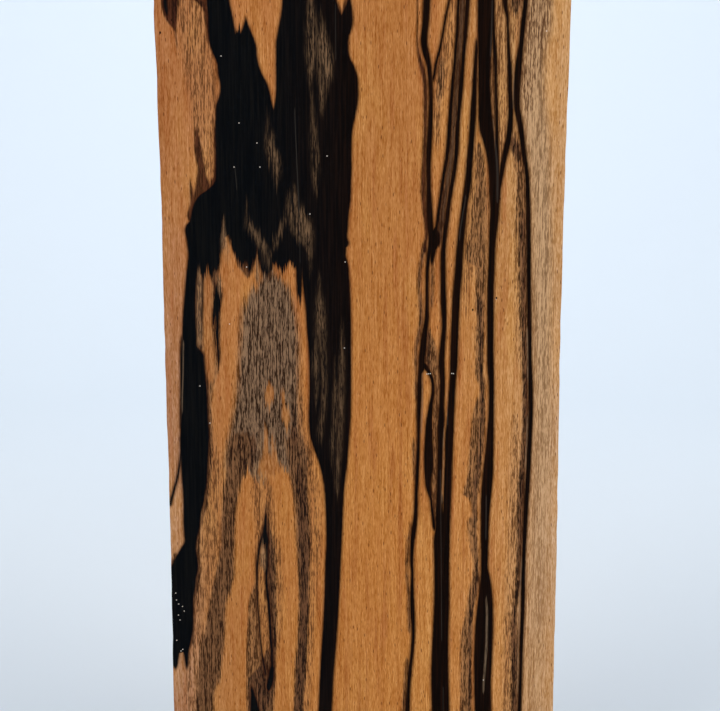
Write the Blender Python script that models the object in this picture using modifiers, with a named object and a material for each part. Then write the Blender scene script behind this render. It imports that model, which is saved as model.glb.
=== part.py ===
"""A black and white ebony board, planed on its faces, standing upright on its sawn foot.

The board is one piece of wood. Its length runs along Z, its width along X and its thickness along Y.
The figured face points to -Y, and the origin is the middle of the foot. Lengths are in metres.
"""

import bmesh
import bpy
from mathutils import Vector

BOARD_LENGTH = 0.305
BOARD_WIDTH = 0.1152
BOARD_THICKNESS = 0.025

# The long edges were sawn by eye: each row is a height and how far the edge lies inside the full width.
LEFT_EDGE = (
    (0.000, 0.0007),
    (0.055, 0.0006),
    (0.105, 0.0009),
    (0.150, 0.0007),
    (0.200, 0.0008),
    (0.235, 0.0004),
    (0.256, 0.0001),
    (0.305, 0.0000),
)
RIGHT_EDGE = (
    (0.000, 0.0000),
    (0.055, 0.0001),
    (0.105, 0.0003),
    (0.150, 0.0008),
    (0.200, 0.0009),
    (0.235, 0.0006),
    (0.256, 0.0004),
    (0.305, 0.0003),
)

# The arrises are eased with a few strokes of fine paper.
EASING = 0.0006
EASING_SEGMENTS = 3
LENGTH_STEPS = 48
SHARPEST_SMOOTH_ANGLE = 0.6

WOOD_COLOR = (0.45, 0.18, 0.05, 1.0)
WOOD_ROUGHNESS = 0.5


def clear_scene():
    for thing in list(bpy.data.objects):
        bpy.data.objects.remove(thing, do_unlink=True)


def edge_inset(height, rows):
    """The inset at a height, on a smooth curve through the rows."""
    last = len(rows) - 2
    span = next((i for i in range(last) if height < rows[i + 1][0]), last)
    before, after = rows[max(span - 1, 0)][1], rows[min(span + 2, last + 1)][1]
    (low, start), (high, end) = rows[span], rows[span + 1]
    share = (height - low) / (high - low)
    curve = (
        2 * start
        + (end - before) * share
        + (2 * before - 5 * start + 4 * end - after) * share**2
        + (3 * start - before - 3 * end + after) * share**3
    )
    return max(curve / 2, 0.0)


def wood_material():
    material = bpy.data.materials.new("ebony_wood")
    material.use_nodes = True
    shader = material.node_tree.nodes["Principled BSDF"]
    shader.inputs["Base Color"].default_value = WOOD_COLOR
    shader.inputs["Roughness"].default_value = WOOD_ROUGHNESS
    shader.inputs["Metallic"].default_value = 0.0
    return material


def board_mesh():
    """A block cut into short lengths, whose long edges follow the two rows above."""
    shape = bmesh.new()
    bmesh.ops.create_cube(shape, size=1.0)
    bmesh.ops.scale(shape, vec=(BOARD_WIDTH, BOARD_THICKNESS, BOARD_LENGTH), verts=shape.verts)
    bmesh.ops.translate(shape, vec=(0.0, 0.0, BOARD_LENGTH / 2), verts=shape.verts)
    for step in range(1, LENGTH_STEPS):
        height = BOARD_LENGTH * step / LENGTH_STEPS
        bmesh.ops.bisect_plane(
            shape,
            geom=shape.verts[:] + shape.edges[:] + shape.faces[:],
            plane_co=Vector((0.0, 0.0, height)),
            plane_no=Vector((0.0, 0.0, 1.0)),
        )
    for vert in shape.verts:
        if vert.co.x < 0:
            vert.co.x += edge_inset(vert.co.z, LEFT_EDGE)
        else:
            vert.co.x -= edge_inset(vert.co.z, RIGHT_EDGE)
    bmesh.ops.recalc_face_normals(shape, faces=shape.faces)
    mesh = bpy.data.meshes.new("ebony_board")
    shape.to_mesh(mesh)
    shape.free()
    return mesh


def ease_arrises(board):
    easing = board.modifiers.new("eased arrises", "BEVEL")
    easing.width = EASING
    easing.segments = EASING_SEGMENTS
    easing.limit_method = "ANGLE"
    board.data.shade_smooth()
    board.data.set_sharp_from_angle(angle=SHARPEST_SMOOTH_ANGLE)


def make_board():
    group = bpy.data.collections.new("Black and white ebony board")
    bpy.context.scene.collection.children.link(group)
    board = bpy.data.objects.new("ebony_board", board_mesh())
    board.data.materials.append(wood_material())
    group.objects.link(board)
    ease_arrises(board)


clear_scene()
make_board()
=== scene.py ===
import math
from collections import namedtuple
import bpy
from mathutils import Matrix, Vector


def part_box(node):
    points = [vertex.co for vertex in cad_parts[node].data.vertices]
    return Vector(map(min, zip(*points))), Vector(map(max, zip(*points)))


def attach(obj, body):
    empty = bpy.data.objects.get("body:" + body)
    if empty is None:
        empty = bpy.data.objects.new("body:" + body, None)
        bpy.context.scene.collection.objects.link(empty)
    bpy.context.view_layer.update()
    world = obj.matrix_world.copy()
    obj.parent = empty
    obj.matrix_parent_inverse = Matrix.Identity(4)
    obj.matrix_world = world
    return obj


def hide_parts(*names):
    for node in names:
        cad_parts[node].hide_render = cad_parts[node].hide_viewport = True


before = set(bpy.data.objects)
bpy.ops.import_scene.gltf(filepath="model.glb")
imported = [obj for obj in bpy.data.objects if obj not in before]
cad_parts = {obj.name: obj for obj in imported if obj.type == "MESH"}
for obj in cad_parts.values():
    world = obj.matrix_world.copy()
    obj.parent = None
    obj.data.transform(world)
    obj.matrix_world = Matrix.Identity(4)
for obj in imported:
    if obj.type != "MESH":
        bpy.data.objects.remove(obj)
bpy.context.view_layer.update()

from types import SimpleNamespace

import bmesh
import bpy
from mathutils import Vector, noise

# The board stands on its foot with its figured face towards -Y. Places in the shaders are in millimetres.
BOARD_LOW, BOARD_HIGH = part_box("ebony_board")
FACE_Y = BOARD_LOW.y
LENGTH = BOARD_HIGH.z
MILLIMETRES = 1000.0

# The camera of the picture, which is 720 by 711 pixels.
PICTURE_WIDTH = 720
PICTURE_HEIGHT = 711
FOCAL_PIXELS = 1000.0
SENSOR_WIDTH = 36.0
CAMERA_PITCH = math.radians(7.85)
CAMERA_DISTANCE = 0.2842
CAMERA_HEIGHT = 0.1967
CAMERA_X = -0.0008
NEAREST_SEEN = 0.01


def face_place(across, down):
    """The place (x, z) in millimetres on the figured face that the camera sees at a picture pixel."""
    side = (across - PICTURE_WIDTH / 2) / FOCAL_PIXELS
    rise = (PICTURE_HEIGHT / 2 - down) / FOCAL_PIXELS
    ahead = math.cos(CAMERA_PITCH) + rise * math.sin(CAMERA_PITCH)
    up = rise * math.cos(CAMERA_PITCH) - math.sin(CAMERA_PITCH)
    reach = CAMERA_DISTANCE / ahead
    return (CAMERA_X + reach * side) * MILLIMETRES, (CAMERA_HEIGHT + reach * up) * MILLIMETRES


# The figure is a set of streaks. Each row gives a picture line and the streak's left and right edges on it,
# in picture pixels. Rows above line 0 and below line 711 carry the figure on to the sawn ends. The thin
# lines are lettered from left to right.
BLACK = {
    "left lobe": (
        (-200, 199, 214), (-120, 203, 221), (-60, 205, 226), (0, 206.4, 229), (17, 208, 232.6),
        (27, 208, 234.4), (44, 209.6, 238), (58, 215, 240), (75, 218, 262), (86, 220.3, 267.9),
        (94, 219.6, 270), (104, 216.3, 272), (116, 215.6, 278), (129, 215.2, 290), (147, 215.6, 300),
        (170, 215.9, 300), (182, 214.8, 300), (188, 210, 300), (196, 199, 300), (207, 192.9, 300),
        (220, 190.2, 290), (226, 185.8, 262), (236, 185.6, 226), (247, 187.4, 221.5), (256, 188.2, 221),
        (262, 187.8, 220),
    ),
    "left lobe tooth": (
        (19, 245.4, 246), (25, 243.6, 248.4), (34, 240, 252), (40, 234.5, 254.5), (47, 225, 256.5),
        (58, 225, 257.3), (72, 225, 261.2), (86, 225, 267.9), (102, 225, 271.3), (112, 225, 273.5),
        (122, 225, 280),
    ),
    "right lobe": (
        (-200, 291, 307), (-120, 287, 318), (-60, 284.5, 328), (0, 282.6, 335.4), (6, 282.2, 338.4),
        (11, 281.6, 339.6), (15, 281, 341.6), (31, 277.9, 349.5), (44, 275.9, 348.2), (57, 276, 349.6),
        (67, 275.9, 354.6), (78, 276, 357.8), (91, 275.9, 358.5), (104, 274.4, 357.8), (112, 272, 356.2),
        (131, 255, 352.4), (147, 250, 351.6), (176, 245, 351.4), (200, 245, 350.5), (222, 240, 348.2),
        (236, 250, 347), (248, 264, 346.4),
    ),
    "right lobe finger": (
        (-14, 349, 350), (0, 347.8, 350.8), (6, 345.4, 351.8), (11, 343.2, 352.4), (16, 340.4, 352.8),
        (25, 330, 352.6), (31, 325, 351), (38, 320, 348.4), (49, 320, 348), (58, 320, 349.6),
    ),
    "right strand": (
        (226, 270, 347.7), (250, 285, 346), (260, 300, 346.9), (277, 302, 349.2), (294, 304, 350.2),
        (307, 305.4, 350.5), (327, 306.7, 351), (354, 308.7, 351.2), (387, 309.4, 351.2),
        (414, 308.7, 350.7), (430, 309.4, 349.9), (443, 312, 349), (458, 317.4, 347.7),
        (471, 321.4, 346.4), (487, 324.1, 344.4), (505, 325.4, 343.3), (527, 326.1, 342.4),
        (547, 326.1, 341.4), (560, 325.4, 340.8), (600, 324.1, 338.8), (640, 322.1, 336.4),
        (674, 320.1, 333.8), (711, 318.5, 331.9), (780, 315, 328.5), (870, 311, 324),
    ),
    "left strand": (
        (258, 188, 201), (276, 186, 197), (290, 184.8, 196), (300, 184, 195.6), (320, 182.6, 196),
        (338, 182, 196.8), (346, 181.4, 197), (349, 181.3, 199.4), (355, 180.8, 203.6),
        (367, 180.8, 204.8), (378, 180.8, 205.8), (400, 181, 207.4), (415, 181, 208), (428, 180.6, 209),
        (440, 179.8, 209.2), (458, 180.6, 208.4), (480, 181.8, 207), (500, 183.2, 204.3),
        (512, 183.3, 201.6), (524, 183.4, 200), (534, 184, 198), (542, 184.4, 196.5), (548, 181, 196.2),
        (554, 177.4, 196.6), (560, 173.9, 197.6), (567, 170.4, 198), (573, 160, 197.4), (585, 158, 195.6),
        (600, 158, 193.4), (630, 158, 193), (643, 158, 190.4), (650, 158, 188.8),
    ),
    "left strand foot": ((636, 158, 184), (652, 164, 179.6), (660, 170, 178.4), (667, 174.2, 176.8)),
    "right strand foot": ((636, 172, 191), (652, 183.2, 188.8), (660, 184.8, 188.4), (667, 186.2, 187.6)),
    "left outline": ((336, 181.2, 182.4), (352, 180.2, 182), (380, 180.2, 181.8), (428, 180, 181.8)),
    "left hook": (
        (440, 180.6, 182.6), (462, 178.9, 181), (480, 175.6, 177.8), (494, 171.6, 174), (503, 169.4, 172),
    ),
    "knot core": ((-60, 164.4, 166), (0, 163.4, 167), (8, 164, 167.4), (14, 166, 168)),
    "spindle left": (
        (534, 261.6, 262.8), (545, 258.8, 261), (558, 257, 259.4), (572, 256.4, 258.2),
        (590, 256.6, 257.8), (608, 257.4, 258.6), (624, 258.6, 260), (645, 260.2, 261.8),
        (662, 262.4, 264), (674, 264.8, 266.2),
    ),
    "spindle right": (
        (530, 264.8, 266.8), (540, 265.4, 268.4), (552, 265.4, 268), (566, 265.4, 268),
        (580, 265.2, 267.4), (594, 266.4, 268.8), (606, 267.8, 270), (620, 268.6, 270.8),
        (640, 269.8, 272), (655, 271, 273), (668, 271, 273.4), (680, 270.4, 272.6),
    ),
    "spindle tip core": ((515, 265, 266.4), (523, 264, 266.8), (532, 262.6, 267), (541, 261.4, 267.6)),
    "spindle foot left": (
        (688, 251.2, 252.6), (696, 250.6, 255.2), (704, 250.4, 257.6), (716, 250.4, 260),
        (760, 251.6, 259),
    ),
    "spindle foot right": ((666, 271, 273.4), (674, 269, 273.8), (682, 267.4, 273), (688, 266.6, 271)),
    "line A": (
        (-200, 433, 439), (-100, 429, 436), (0, 423.2, 430.4), (23, 422.3, 429), (40, 420.6, 427.5),
        (51, 421.9, 428.8), (61, 425.3, 430.8), (77, 427.8, 432.4), (100, 428.6, 433), (122, 428, 432.7),
        (145, 426.5, 431.6), (168, 426, 430.6), (191, 426, 431), (203, 425.8, 432), (226, 426.8, 433.2),
        (241, 428, 434.4), (256, 426.5, 430.6), (280, 425.4, 428.8), (302, 425.2, 428.8),
        (318, 424.6, 429), (333, 421.6, 427.3), (348, 419.8, 426.2), (360, 418.4, 424.8),
        (367, 418.3, 425), (375, 417.8, 421.8), (391, 416.9, 421.7), (414, 416.4, 420.6),
        (437, 416.6, 419.8), (460, 415.7, 419.4), (475, 415.2, 418.8), (490, 414.4, 418),
        (513, 413.6, 417.7), (528, 411.6, 416.5), (544, 409.9, 414.2), (560, 409.5, 413.2),
        (574, 410.6, 413.5), (590, 409.9, 413.8), (612, 410, 414.6), (630, 411.4, 415), (650, 410.6, 414),
        (670, 408.2, 412), (688, 406.8, 410.4), (711, 405.2, 409.6), (780, 402, 406.4), (870, 396, 401),
    ),
    "line B": (
        (-200, 466, 469), (-100, 458.4, 461), (0, 448, 450.2), (15, 444.8, 447), (30, 442.1, 444.4),
        (44, 439.6, 442), (52, 437.8, 440.2), (59, 435.8, 438.2), (66, 434.1, 436.5), (74, 432.9, 435.5),
        (80, 431.6, 434.2),
    ),
    "line C left": (
        (-200, 474, 478), (-100, 466, 470), (0, 457, 460.2), (31, 455.5, 458.6), (61, 453.2, 456.4),
        (92, 450, 454), (122, 447.8, 451.6), (153, 445.4, 449.3), (176, 441.8, 445.5),
        (199, 438.8, 441.7), (226, 435, 438.2), (236, 433.4, 437.2), (248, 431, 436.4), (262, 430.4, 433),
    ),
    "line C right": (
        (-200, 484, 490), (-100, 474, 480), (0, 465.5, 470), (31, 463.2, 467.8), (61, 461, 464.8),
        (92, 458.6, 462.6), (122, 456.2, 460), (153, 454, 458.5), (176, 451, 455.5), (199, 447, 451.4),
        (226, 443.8, 448.2), (241, 441.6, 446.4), (256, 440.3, 445.6), (280, 440.3, 445.6),
        (302, 440.4, 446.3), (325, 441.7, 446.4), (348, 439.6, 445), (362, 438.4, 444.4),
        (383, 439.8, 445), (406, 439, 444.4), (420, 438, 444.6), (429, 437.6, 444), (452, 437.2, 443),
        (475, 436.6, 442.4), (498, 436.3, 441.6), (521, 435.6, 441.8), (540, 434.2, 442), (560, 434, 444),
    ),
    "line D": (
        (40, 475.8, 477.6), (69, 473.2, 477.4), (92, 471.8, 477), (115, 470, 476.2), (138, 468.6, 474.6),
        (161, 466.4, 472.4), (184, 464.4, 470.9), (203, 461.8, 467.9), (226, 458.7, 465.5),
        (249, 456.3, 463.6), (272, 454.6, 462.2), (295, 452.5, 460.2), (318, 451.4, 459),
        (341, 450.5, 458.2), (364, 450, 457.4), (383, 449.4, 455.8), (414, 447.4, 454.4),
        (437, 445.2, 453.4), (460, 444.9, 452.6), (482, 444, 452), (505, 443.2, 451), (528, 442.2, 450.2),
        (560, 441, 449.4),
    ),
    "band CD": (
        (496, 441.6, 442.8), (512, 440.6, 443.6), (524, 437.6, 447), (540, 433.6, 449.4),
        (570, 434.2, 449.4), (600, 434, 449.5), (628, 433, 448.8), (650, 431.9, 448.4),
        (680, 431.2, 448.7), (711, 431.8, 449.4), (780, 430, 450), (870, 426, 447),
    ),
    "lens": (
        (366, 422, 427.6), (371, 426, 430.4), (376, 428.8, 432.6), (380, 430.5, 434), (388, 431.5, 435),
        (395, 431, 434.8), (403, 429.2, 433.4), (410, 428, 433), (421, 426, 432.4), (430, 425.2, 432.6),
        (440, 424.6, 432.8), (455, 423.8, 433.4), (467, 424, 433), (480, 424.8, 431.4),
        (490, 426.4, 431.4), (500, 429.6, 432), (513, 431, 433.7), (528, 432.6, 436),
    ),
    "merge smudge": ((228, 434, 437), (234, 431.6, 439.4), (242, 431, 439.6), (250, 430.6, 436)),
    "line E": (
        (-200, 488, 508), (-100, 482, 500), (0, 477.6, 494.8), (20, 477.6, 493.6), (38, 477.8, 492.6),
        (61, 478, 491.4), (84, 478.3, 490.6), (107, 478.4, 491.6), (120, 478.6, 493), (132, 480, 494),
        (141, 483, 494.8), (153, 486, 495.6), (168, 488.2, 496.2), (184, 489, 497.4), (195, 489, 499.6),
        (211, 490, 499.2), (226, 489.3, 497.7), (241, 488.8, 495.8), (264, 488.2, 494.6),
        (287, 487.2, 493.8), (310, 487, 493.5), (348, 487, 493.4), (364, 487, 493.6), (383, 488.4, 494),
        (414, 488.2, 494), (437, 486.3, 493.8), (455, 484.6, 493.4), (475, 482.4, 492.9),
        (498, 480.8, 490.8), (521, 480.5, 489), (550, 480.7, 488.2), (566, 480.7, 487.8),
        (581, 480, 490.6), (597, 478.5, 492.3), (615, 476.2, 493), (635, 474.7, 493), (658, 474, 492.2),
        (681, 474.1, 490.9), (711, 474.8, 491.4), (790, 476, 493), (870, 474, 494),
    ),
    "line F": (
        (-200, 486, 490), (-100, 488, 492), (0, 491.4, 494.8), (27, 492.2, 495), (45, 492.8, 496.4),
        (58, 493.4, 497.6), (82, 494.2, 497.6), (116, 494.8, 498.2), (135, 495, 498.8), (150, 494.6, 499),
        (170, 494.6, 500), (190, 496, 500.6),
    ),
    "line G": (
        (-200, 492, 498), (-100, 498, 504), (-20, 501.6, 507.4), (0, 502.4, 507.8), (8, 503.4, 508),
        (15, 505.6, 508.8), (31, 506.8, 509.4), (55, 507.5, 510.6), (68, 507.5, 512.2),
        (92, 507.8, 512.6), (109, 508.5, 513.4), (122, 507.9, 513), (138, 506, 511.4),
        (147, 503.8, 509.6), (161, 501, 506.3), (175, 498.8, 503.6), (188, 497.4, 501), (199, 497, 500.2),
    ),
    "line H": (
        (-200, 541, 546), (-100, 533, 538), (0, 523.7, 528.2), (15, 522, 527), (31, 520.2, 525.2),
        (46, 518.6, 523.8), (61, 516, 522.6), (76, 514.4, 521), (92, 513.4, 520.3), (107, 513.8, 520.2),
        (118, 516, 522), (130, 518.2, 523.8), (153, 521.6, 526.4), (176, 524.8, 529), (199, 525.6, 530),
        (226, 525.8, 530.4), (256, 526.2, 530.8), (287, 526.4, 531), (340, 527.4, 531.6),
        (364, 527.6, 532), (383, 527.9, 532.8), (414, 528.2, 533), (444, 527.2, 531.8),
        (467, 526.2, 530.6), (490, 524.5, 529.4), (513, 523.3, 528.1), (536, 522.4, 526.8),
        (551, 521.9, 525.8), (581, 520.6, 525), (612, 520.4, 524.4), (642, 519.2, 523.2),
        (673, 518.6, 522.4), (711, 517.4, 521.2), (790, 515, 519), (870, 512, 517),
    ),
}

# Black wood that ends in splinters.
FEATHERED = {
    "left lobe foot": ((240, 190, 221), (261, 190, 220.8), (270, 197, 219.6), (275, 202, 216)),
    "bay": ((35, 233.4, 243), (42, 231, 247), (58, 228, 250)),
    "tooth 1": ((222, 226.5, 264), (238, 228.6, 262), (248, 231, 252), (256, 235, 247), (262, 239, 244)),
    "tooth 2": ((230, 238, 266), (250, 241, 257), (261, 245, 254), (271, 248.6, 251.6)),
    "tooth 3": (
        (226, 250, 300), (248, 256.8, 292), (261, 259, 279), (270, 261, 270.6), (277, 264, 267.2),
    ),
    "tooth 4": ((236, 262, 304), (254, 268, 298), (263, 275, 291), (272, 280.4, 284)),
    "tooth 5": (
        (240, 276, 306), (256, 286, 304), (264, 289.8, 303), (267, 296, 303), (281, 296.6, 302.2),
        (291, 297.4, 301.6), (297, 299.6, 300.6),
    ),
    "flame patch": (
        (289, 216.4, 220), (294, 214.8, 222), (300, 214.4, 221.6), (306, 213, 220.2), (312, 211.8, 219.4),
        (319, 211.8, 219), (324, 215, 219.2), (334, 215.8, 218.8), (345, 215.2, 218.6),
        (354, 217.6, 219.8), (361, 218, 219.6),
    ),
    "flame groove": (
        (276, 202.6, 204.2), (290, 202, 203.2), (304, 201.9, 203), (312, 200.6, 202.8),
        (320, 200.8, 202.6),
    ),
}

# Red-brown wood, which hugs the black or stands alone.
REDDISH = {
    "flame": (
        (128, 196.2, 197.2), (139, 194.8, 199.8), (149, 194.3, 202.2), (158, 195.6, 203.4),
        (168, 197.6, 205.2), (176, 196.8, 206.4), (184, 196, 210), (200, 192, 214), (212, 192, 214),
    ),
    "sliver": (
        (182, 189.8, 190.8), (188, 189.6, 192.6), (196, 190, 193.8), (206, 189.6, 194), (216, 187, 194),
    ),
    "top fringe": (
        (-170, 197, 199), (-120, 193, 203), (-60, 190.4, 205), (-8, 191.6, 206), (0, 193.4, 206.8),
        (4, 199, 207.2), (12, 203.6, 207.6), (24, 205.4, 208.4), (40, 207.2, 209.6),
    ),
    "knot": (
        (-90, 167, 170), (-50, 163.4, 175), (0, 161.4, 178), (8, 162, 177.6), (17, 165, 177.2),
        (24, 169, 176.8), (30, 174, 176),
    ),
    "knot tail": ((26, 174, 176.4), (36, 175.2, 176.6), (46, 176.4, 177.4)),
    "lobe edge": ((132, 214.2, 216), (150, 214.4, 216), (176, 214, 217), (184, 210, 216)),
    "A companion top": (
        (-60, 421.6, 422.8), (0, 417.2, 418.2), (31, 416.8, 418), (46, 416.6, 418.6), (58, 418, 421.4),
        (66, 419.2, 424), (77, 421.8, 426.4), (100, 423.2, 427.6), (130, 423.2, 427), (165, 421.8, 426),
        (185, 420.8, 426), (203, 421.4, 426), (220, 423.4, 427.4), (234, 424.6, 428), (248, 422.8, 426.4),
    ),
}

# Soft dark shading, which hugs the black lines or stands alone.
DARK_BROWN = {
    "top knot left": (
        (-80, 166.4, 167), (-40, 163, 169), (0, 162, 169.2), (8, 162.6, 169.2), (15, 164.6, 169.6),
    ),
    "top knot right": (
        (-80, 172.4, 173), (-40, 172, 176), (0, 172.2, 177), (12, 172.6, 176.6), (20, 173.2, 176),
    ),
    "V fringe left": ((-10, 331.6, 334.6), (2, 334.6, 337.8), (9, 337.6, 340.4), (17, 339.4, 342.4)),
    "V fringe right": ((-12, 346.4, 349), (0, 345, 348), (6, 343.4, 346), (12, 342, 344.4)),
    "A companion low": (
        (246, 422.6, 425.8), (256, 421, 424.4), (271, 418.4, 421.4), (287, 417.8, 421), (302, 418.8, 422),
        (318, 419.2, 422.8), (334, 417.2, 420.8), (348, 414.8, 418.2), (362, 414.2, 417.2),
        (374, 414.8, 417.6), (395, 414.8, 417.2),
    ),
    "A low companion": (
        (528, 409.4, 411.6), (540, 407.2, 409.4), (552, 406.2, 408.2), (566, 405.8, 407.8),
        (580, 406.2, 408), (595, 407.6, 409.6), (610, 407.4, 409.4), (628, 408.2, 411.2),
    ),
    "A left thread": ((444, 412.8, 414), (460, 412.8, 414.6), (476, 413.6, 415.4)),
    "A foot fringe": ((664, 405.4, 408.2), (685, 404, 406.8), (711, 402.4, 405.4), (800, 397.6, 400.6)),
    "A right tail": ((250, 431.6, 434), (268, 431.6, 434.2), (286, 431.4, 433.4), (304, 431.2, 432.6)),
    "A fork": ((332, 426.4, 428.2), (345, 425.4, 428.6), (358, 424.4, 429), (366, 426, 431)),
    "lobe foot": ((256, 196, 221), (268, 200, 219.6), (276, 204, 218), (284, 212, 217)),
    "teeth": ((240, 232, 262), (256, 236, 256), (266, 238, 253.4), (272, 243, 252)),
    "light column hollow": ((282, 199.8, 200.8), (287, 199.4, 201.4), (292, 200.2, 201)),
    "groove low": ((322, 201, 202.4), (336, 201, 202.2), (350, 200.6, 202)),
    "left strand edge": (
        (272, 197, 199.6), (300, 195.6, 197.6), (320, 196, 198), (345, 197, 199.6), (358, 204, 206.4),
        (376, 205.6, 209.4), (395, 207, 209.6), (420, 208.4, 210.4), (440, 208.8, 211),
        (470, 207.6, 209.8), (490, 205.6, 208.6), (505, 203.4, 207), (520, 200.4, 203.4),
        (540, 196.8, 199), (556, 197, 199.6), (580, 196, 199), (600, 193.4, 196), (640, 191, 194),
    ),
    "oval blotch left": ((436, 252.6, 254.6), (452, 250.6, 256), (466, 249, 254)),
    "oval blotch right": ((404, 293, 294.4), (422, 291.8, 296), (446, 292.2, 297)),
    "right leg core": (
        (470, 296, 302), (500, 298.6, 306), (530, 299, 307.6), (573, 300.4, 308.2), (620, 300, 306.8),
        (650, 298.6, 305.6), (680, 296.6, 303.6), (711, 295.6, 301.6), (790, 291, 298), (870, 286, 294),
    ),
    "spindle tip": (
        (508, 264.8, 267.2), (516, 263.6, 267.6), (523, 262.4, 267.8), (530, 260.8, 269.2),
        (537, 259.6, 270.6), (543, 258.8, 271),
    ),
    "spindle shade": (
        (545, 267, 271.4), (575, 267, 272.6), (605, 268.6, 273.6), (635, 270.4, 274.6), (665, 270, 274.8),
    ),
    "spindle foot": (
        (664, 262, 266), (678, 250, 268), (694, 248.6, 268), (711, 249, 266), (760, 251, 266),
        (820, 253, 266), (860, 257, 263),
    ),
    "spindle foot core": (
        (664, 269.4, 274.4), (672, 267.6, 275), (681, 263, 275), (690, 260, 273.4), (700, 255, 269),
        (712, 250.6, 264), (770, 251, 262), (840, 255, 262),
    ),
    "strand core": (
        (302, 477.6, 482), (312, 478, 482), (322, 478.8, 482.4), (340, 479.4, 482.4), (370, 479, 482.2),
        (386, 480.8, 483.6), (400, 480.4, 483.4), (420, 480.2, 483.6), (445, 478.8, 482),
        (465, 476.8, 480.2), (485, 473, 477.4), (500, 473, 476), (515, 473.4, 475.8), (528, 474, 476),
        (545, 474.8, 476.8), (566, 475.8, 477.8), (580, 475, 478.2), (594, 472.4, 476),
        (606, 471.2, 473.4), (622, 469.2, 471.4), (650, 468.4, 470.2), (711, 468, 470),
        (870, 459.6, 462.6),
    ),
    "GH top patch": ((-120, 513, 524), (-50, 512, 523), (0, 511.6, 521.6), (8, 512.4, 520)),
    "fork smoke": ((143, 510.6, 517), (149, 511, 520.6), (156, 514.4, 522)),
    "H fringe core": (
        (215, 520.6, 525), (245, 520.4, 525.4), (276, 520.8, 526), (313, 521.2, 526.2), (349, 522, 527),
        (395, 523, 528), (427, 522.6, 527.4), (455, 521, 526), (491, 518.6, 524), (527, 517.8, 523),
        (554, 517.4, 521.6), (580, 516.4, 520.4), (594, 514.8, 518.6), (606, 512.8, 517),
        (624, 511.8, 516.6), (642, 512, 516.8), (678, 512.6, 517.2), (705, 512.8, 517.2), (790, 509, 514),
        (870, 506, 511),
    ),
}

# The two long dark legs under the oval, and the darker wood round the spindle.
LEGS = {
    "left leg": (
        (440, 229, 254), (460, 226.6, 251), (472, 225.2, 247), (480, 224.2, 241.4), (490, 223, 239.4),
        (500, 222.2, 237.4), (514, 221.2, 235.6), (534, 220.6, 234.6), (553, 219.8, 234.3),
        (566, 217.6, 234), (580, 214.3, 233.7), (595, 210.3, 229), (607, 209, 225.7), (627, 205, 225),
        (647, 200.2, 223.7), (665, 198.3, 221.6), (681, 197.5, 219.6), (692, 197, 214.4),
        (711, 196, 213.4), (790, 191, 209), (870, 184, 203),
    ),
    "right leg": (
        (440, 284, 303), (452, 286, 306.4), (462, 288, 308), (474, 289.6, 308.4), (488, 292.2, 308.6),
        (502, 294.2, 309), (520, 295, 309.8), (547, 296.4, 310.2), (573, 297.8, 309.8),
        (600, 298.8, 309.2), (620, 298, 308.4), (647, 296.6, 307.6), (665, 294.6, 306.4),
        (687, 294.6, 304.8), (711, 293.3, 303), (790, 289, 300), (870, 284, 296),
    ),
    "spindle right band": (
        (530, 266, 271.6), (545, 266, 274.6), (567, 266.6, 276), (587, 266, 276.6), (607, 267.6, 276.8),
        (627, 269.6, 276.8), (647, 271.4, 276.2), (668, 270, 275.6),
    ),
    "spindle foot right": (
        (660, 262, 275), (680, 258, 275), (700, 256, 274.4), (720, 256, 273), (780, 256, 270),
        (850, 258, 265),
    ),
}

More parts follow.
